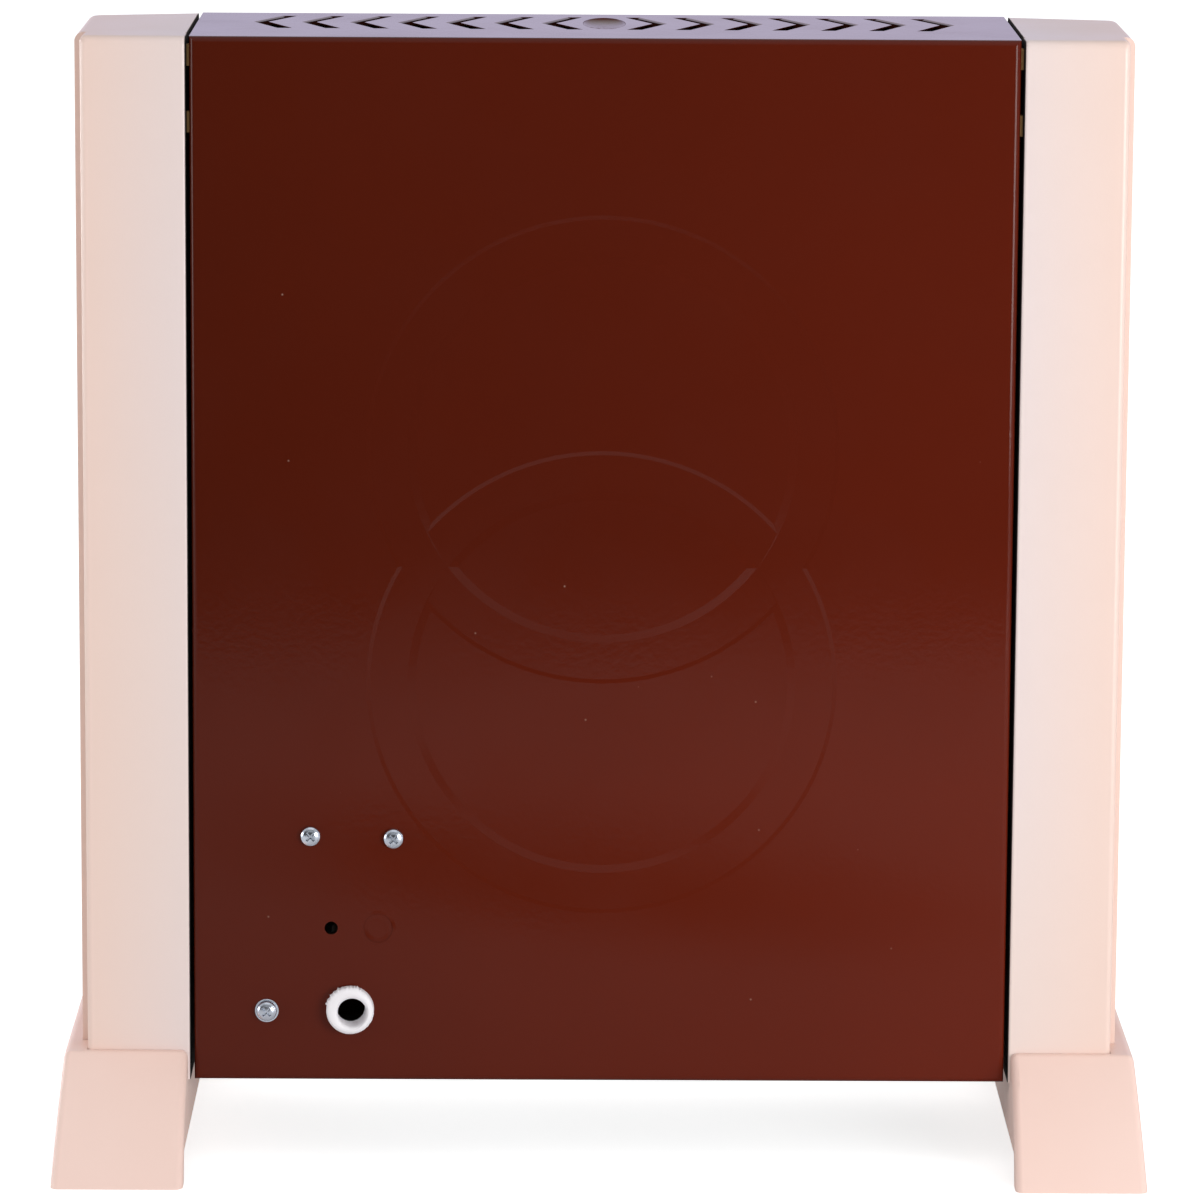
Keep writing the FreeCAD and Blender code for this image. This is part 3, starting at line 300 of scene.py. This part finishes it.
finishes = {
    "brown_enamel": brown_enamel(),
    "cream_plastic": cream_plastic(),
    "foot_plastic": moulded_plastic(
        "foot_plastic", screen(248, 218, 207), screen(244, 211, 199), 0.34, 0.46),
    "zinc": plated("zinc", (0.76, 0.82, 0.93, 1), (0.64, 0.69, 0.79, 1), 0.18, 0.32),
    "white_plastic": moulded_plastic(
        "white_plastic", screen(248, 245, 249), screen(240, 237, 240), 0.42, 0.55),
    "polished_sheet": plated(
        "polished_sheet", (0.90, 0.90, 0.91, 1), (0.84, 0.84, 0.85, 1), 0.07, 0.16, 700, (0.02, 1, 1)),
    "galvanised_sheet": galvanised_sheet(),
    "quartz_glass": quartz_glass(),
    "resistance_wire": plated("resistance_wire", (0.26, 0.24, 0.23, 1), (0.16, 0.13, 0.12, 1), 0.4, 0.6, 500),
    "ceramic": fired_ceramic(),
    "chrome_wire": plated("chrome_wire", (0.80, 0.80, 0.82, 1), (0.72, 0.72, 0.74, 1), 0.06, 0.14, 60),
    "black_plastic": moulded_plastic("black_plastic", screen(34, 34, 35), screen(28, 28, 28), 0.32, 0.45),
    "brass": plated("brass", (0.78, 0.57, 0.24, 1), (0.62, 0.42, 0.16, 1), 0.22, 0.42, 160),
    "lead_sleeve": lead_sleeve(),
}
for node in nodes.values():
    for place in node.material_slots:
        place.material = finishes[place.material.name.split(".")[0]]


# Wound coils of resistance wire inside the tubes

def pick(first, *others):
    """Selects some pieces and nothing else."""
    bpy.ops.object.select_all(action="DESELECT")
    for piece in (first, *others):
        piece.select_set(True)
    bpy.context.view_layer.objects.active = first


def apply_place():
    bpy.ops.object.transform_apply(location=True, rotation=True, scale=True)


def edit_all():
    bpy.ops.object.mode_set(mode="EDIT")
    bpy.ops.mesh.select_all(action="SELECT")


def face_outward():
    """Turns all faces outward and leaves edit mode."""
    bpy.ops.mesh.select_all(action="SELECT")
    bpy.ops.mesh.normals_make_consistent(inside=False)
    bpy.ops.object.mode_set(mode="OBJECT")


def draw_out(start, *steps):
    """A round bar along X that starts as a disc and is drawn out in steps of place and radius."""
    place, radius = start
    bpy.ops.object.select_all(action="DESELECT")
    bpy.ops.mesh.primitive_circle_add(
        vertices=16, radius=radius, fill_type="NGON", location=(place, 0, 0), rotation=(0, math.pi / 2, 0))
    apply_place()
    edit_all()
    for next_place, next_radius in steps:
        bpy.ops.mesh.extrude_region_move(TRANSFORM_OT_translate={"value": (next_place - place, 0, 0)})
        share = next_radius / radius
        bpy.ops.transform.resize(value=(1, share, share), center_override=(next_place, 0, 0))
        place, radius = next_place, next_radius
    face_outward()
    return bpy.context.object


def wind_coil():
    """One coil along X, its end turns gripping the stepped ends of two leads."""
    turns, turn_radius, wire_radius = 150, 0.00285, 0.00035
    lead_length, lead_radius = 0.027, 0.0008
    grip_length, grip_radius, half_step = 0.01, 0.0025, 0.0005
    lead_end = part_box("heating_coil_1")[1][0]
    reach = lead_end - lead_length
    bpy.ops.object.select_all(action="DESELECT")
    bpy.ops.mesh.primitive_circle_add(
        vertices=7, radius=wire_radius, location=(-reach + wire_radius, 0, 0), rotation=(math.pi / 2, 0, 0))
    coil = bpy.context.object
    bpy.ops.object.transform_apply(location=False, rotation=True, scale=True)
    edit_all()
    bpy.ops.transform.translate(value=(0, 0, turn_radius))
    bpy.ops.object.mode_set(mode="OBJECT")
    winding = coil.modifiers.new("winding", "SCREW")
    winding.axis = "X"
    winding.iterations = turns
    winding.screw_offset = 2 * (reach - wire_radius) / turns
    winding.steps = winding.render_steps = 15
    bpy.ops.object.modifier_apply(modifier="winding")
    edit_all()
    face_outward()
    apply_place()
    leads = [
        draw_out(
            (way * lead_end, lead_radius), (way * (reach + half_step), lead_radius),
            (way * (reach - half_step), grip_radius), (way * (reach - grip_length), grip_radius))
        for way in (1, -1)]
    pick(coil, *leads)
    bpy.ops.object.join()
    bpy.ops.object.shade_smooth_by_angle(angle=math.radians(50))
    return coil


def fill_tubes(count):
    """The first coil and its copies, one on the axis of each tube."""
    first = wind_coil()
    for number in range(1, count + 1):
        rod = f"heating_coil_{number}"
        low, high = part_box(rod)
        pick(first)
        if number < count:
            bpy.ops.object.duplicate()
        coil = bpy.context.object
        coil.name = f"wound_coil_{number}"
        coil.location = (0, (low[1] + high[1]) / 2, (low[2] + high[2]) / 2)
        apply_place()
        coil.data.materials.append(finishes["resistance_wire"])
        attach(coil, "heater")
        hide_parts(rod)


fill_tubes(4)


# White bush in the back wall

def far_from(point, middle):
    """Distance from the bush's axis."""
    return math.hypot(point.x - middle.x, point.z - middle.z)


def burr(point, middle):
    """Whether a point lies where flash is left on the rim, in uneven runs around it."""
    turn = math.atan2(point.z - middle.z, point.x - middle.x)
    return math.sin(turn * 31) + math.sin(turn * 47 + 1) > 0.3


def select_where(piece, wanted):
    """Selects the points of a piece in edit mode by their place."""
    bpy.ops.mesh.select_all(action="DESELECT")
    mesh = bmesh.from_edit_mesh(piece.data)
    for point in mesh.verts:
        point.select = wanted(point.co)
    mesh.select_flush(True)
    bmesh.update_edit_mesh(piece.data)


def turn_bush():
    """The bush drawn up ring by ring from its barb to its rounded face.

    Its bore sits off centre, and its rim is ragged where the mould leaked."""
    low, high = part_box("cord_bush")
    middle = (Vector(low) + Vector(high)) / 2
    outer = (high[0] - low[0]) / 2
    depth = high[1] - low[1]
    rings = (
        (0.0, 0.583), (0.0, 0.75), (0.3, 0.895), (0.3, 0.8125), (0.375, 0.8125), (0.375, 0.97), (0.6, 0.97),
        (0.78, 0.97), (0.88, 0.95), (0.945, 0.9), (0.985, 0.83), (1.0, 0.76), (0.985, 0.69), (0.94, 0.64),
        (0.84, 0.6), (0.7, 0.585))

    def on_ring(point, inside, outside, level):
        """Whether a point lies between two radii and above a level, as shares of the bush."""
        return inside < far_from(point, middle) / outer < outside and point.y > low[1] + depth * level

    def on_upper_rim(point):
        return point.z - middle.z + (point.x - middle.x) * 0.5 > outer * 0.6

    place, radius = rings[0]
    bpy.ops.object.select_all(action="DESELECT")
    bpy.ops.mesh.primitive_circle_add(
        vertices=112, radius=radius * outer, location=(middle.x, low[1], middle.z),
        rotation=(math.pi / 2, 0, 0))
    bush = bpy.context.object
    bush.name = "moulded_bush"
    apply_place()
    edit_all()
    for next_place, next_radius in rings[1:]:
        rise = (next_place - place) * depth
        bpy.ops.mesh.extrude_region_move(TRANSFORM_OT_translate={"value": (0, rise, 0)})
        share = next_radius / radius
        bpy.ops.transform.resize(value=(share, 1, share), center_override=(middle.x, 0, middle.z))
        place, radius = next_place, next_radius
    select_where(bush, lambda p: far_from(p, middle) < outer * 0.59)
    bpy.ops.mesh.bridge_edge_loops()
    select_where(bush, lambda p: on_ring(p, 0, 0.7, 0.4))
    bpy.ops.transform.translate(value=(-0.0008, 0, -0.0007))
    select_where(bush, lambda p: on_ring(p, 0.94, 2, 0.7))
    bpy.ops.transform.vertex_random(offset=0.00012, seed=9)
    select_where(bush, lambda p: on_ring(p, 0.92, 2, 0.55) and on_upper_rim(p) and burr(p, middle))
    bpy.ops.transform.resize(value=(1.06, 1, 1.06), center_override=(middle.x, 0, middle.z))
    bpy.ops.transform.vertex_random(offset=0.0006, seed=4)
    face_outward()
    bpy.ops.object.shade_smooth_by_angle(angle=math.radians(48))
    bush.data.materials.append(finishes["white_plastic"])
    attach(bush, "heater")
    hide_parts("cord_bush")


turn_bush()


# Studio: a pale sheet under the heater, soft lamps around it and a pale surround

def lay_floor():
    """A pale sheet that looks white and, where the heater mirrors it, has one dark patch of painted shade."""
    bpy.ops.object.select_all(action="DESELECT")
    bpy.ops.mesh.primitive_plane_add(size=1, location=(0, -8.85, 0))
    floor = bpy.context.object
    floor.name = "floor"
    floor.scale = (14, 20, 1)
    apply_place()
    paper = bpy.data.materials.new("pale_paper")
    paper.use_nodes = True
    paper.node_tree.nodes.clear()
    patch = put(
        paper, "ShaderNodeMapping", vector=position(paper), location=(0.0, 0.56, 0),
        rotation=(0, 0, math.radians(35)), scale=(0.25, 0.12, 1))
    patch.vector_type = "TEXTURE"
    fade = put(paper, "ShaderNodeTexGradient", vector=patch.outputs["Vector"])
    fade.gradient_type = "SPHERICAL"
    ray = put(paper, "ShaderNodeLightPath").outputs
    # Painted shade: a dark patch on the sheet that only glossy rays see, so the enamel mirrors it as a
    # shadow.
    painted_shade_in_reflections = reckon(paper, "MULTIPLY", ray["Is Glossy Ray"], fade.outputs["Fac"])
    sheet = ramp(paper, painted_shade_in_reflections, (0.0, grey(0.86)), (0.45, grey(0.04)))
    plain = put(paper, "ShaderNodeBsdfDiffuse", color=sheet)
    whiteness = reckon(paper, "MULTIPLY", ray["Is Camera Ray"], 0.68)
    glow = put(paper, "ShaderNodeEmission", color=grey(1), strength=whiteness)
    both = put(paper, "ShaderNodeAddShader")
    feed(paper, plain.outputs[0], both.inputs[0])
    feed(paper, glow.outputs[0], both.inputs[1])
    put(paper, "ShaderNodeOutputMaterial", surface=both.outputs[0])
    floor.data.materials.append(paper)


def stand_lamp(name, place, width, height, power):
    """A soft lamp that faces the middle of the heater."""
    bpy.ops.object.light_add(type="AREA", location=place)
    lamp = bpy.context.object
    lamp.name = name
    lamp.data.shape = "RECTANGLE"
    lamp.data.size = width
    lamp.data.size_y = height
    lamp.data.energy = power
    lamp.rotation_euler = (Vector((0, 0, 0.3)) - Vector(place)).to_track_quat("-Z", "Y").to_euler()


def light_surround():
    """An even pale light that looks white.

    The heater mirrors it as lilac in front of the heater and dark behind it."""
    world = bpy.data.worlds.new("surround")
    bpy.context.scene.world = world
    world.use_nodes = True
    world.node_tree.nodes.clear()
    way = put(world, "ShaderNodeTexCoord").outputs["Generated"]
    axes = put(world, "ShaderNodeSeparateXYZ", vector=way).outputs
    in_front = ramp(world, axes["Z"], (0.18, (0.77, 0.725, 0.96, 1)), (0.4, (0.74, 0.74, 0.76, 1)))
    behind = rescale(world, axes["Z"], 0.25, 0.5, 0.02, 0.45)
    mirrored = blend(world, rescale(world, axes["Y"], 0.1, 0.5), in_front, behind)
    ray = put(world, "ShaderNodeLightPath").outputs
    light = blend(world, ray["Is Glossy Ray"], grey(0.565), mirrored)
    seen = reckon(world, "MAXIMUM", ray["Is Camera Ray"], ray["Is Transmission Ray"])
    background = put(world, "ShaderNodeBackground", color=blend(world, seen, light, grey(1)))
    put(world, "ShaderNodeOutputWorld", surface=background.outputs[0])


def place_camera():
    """Behind the heater, 2.4 m away and a little above it, with a long lens."""
    bpy.ops.object.camera_add()
    camera = bpy.context.object
    camera.name = "camera"
    camera.data.lens = 192.7
    camera.data.sensor_width = 36
    camera.data.clip_end = 50
    turn = Matrix.Rotation(math.radians(179.55), 4, "Z")
    tilt = Matrix.Rotation(math.radians(90 - 10.35), 4, "X")
    roll = Matrix.Rotation(math.radians(0.35), 4, "Z")
    camera.matrix_world = Matrix.Translation((0.020, 2.495, 0.671)) @ turn @ tilt @ roll
    bpy.context.scene.camera = camera


lay_floor()
stand_lamp("key", (-1.1, 1.35, 0.33), 0.9, 0.6, 15.5)
stand_lamp("fill", (1.8, 0.3, 0.33), 0.9, 0.6, 7.5)
stand_lamp("front", (1.6, -1.5, 0.36), 1.0, 0.65, 8)
stand_lamp("overhead", (0, 0.7, 1.7), 1.2, 1.2, 1.4)
light_surround()
place_camera()
bpy.context.scene.view_settings.view_transform = "Standard"
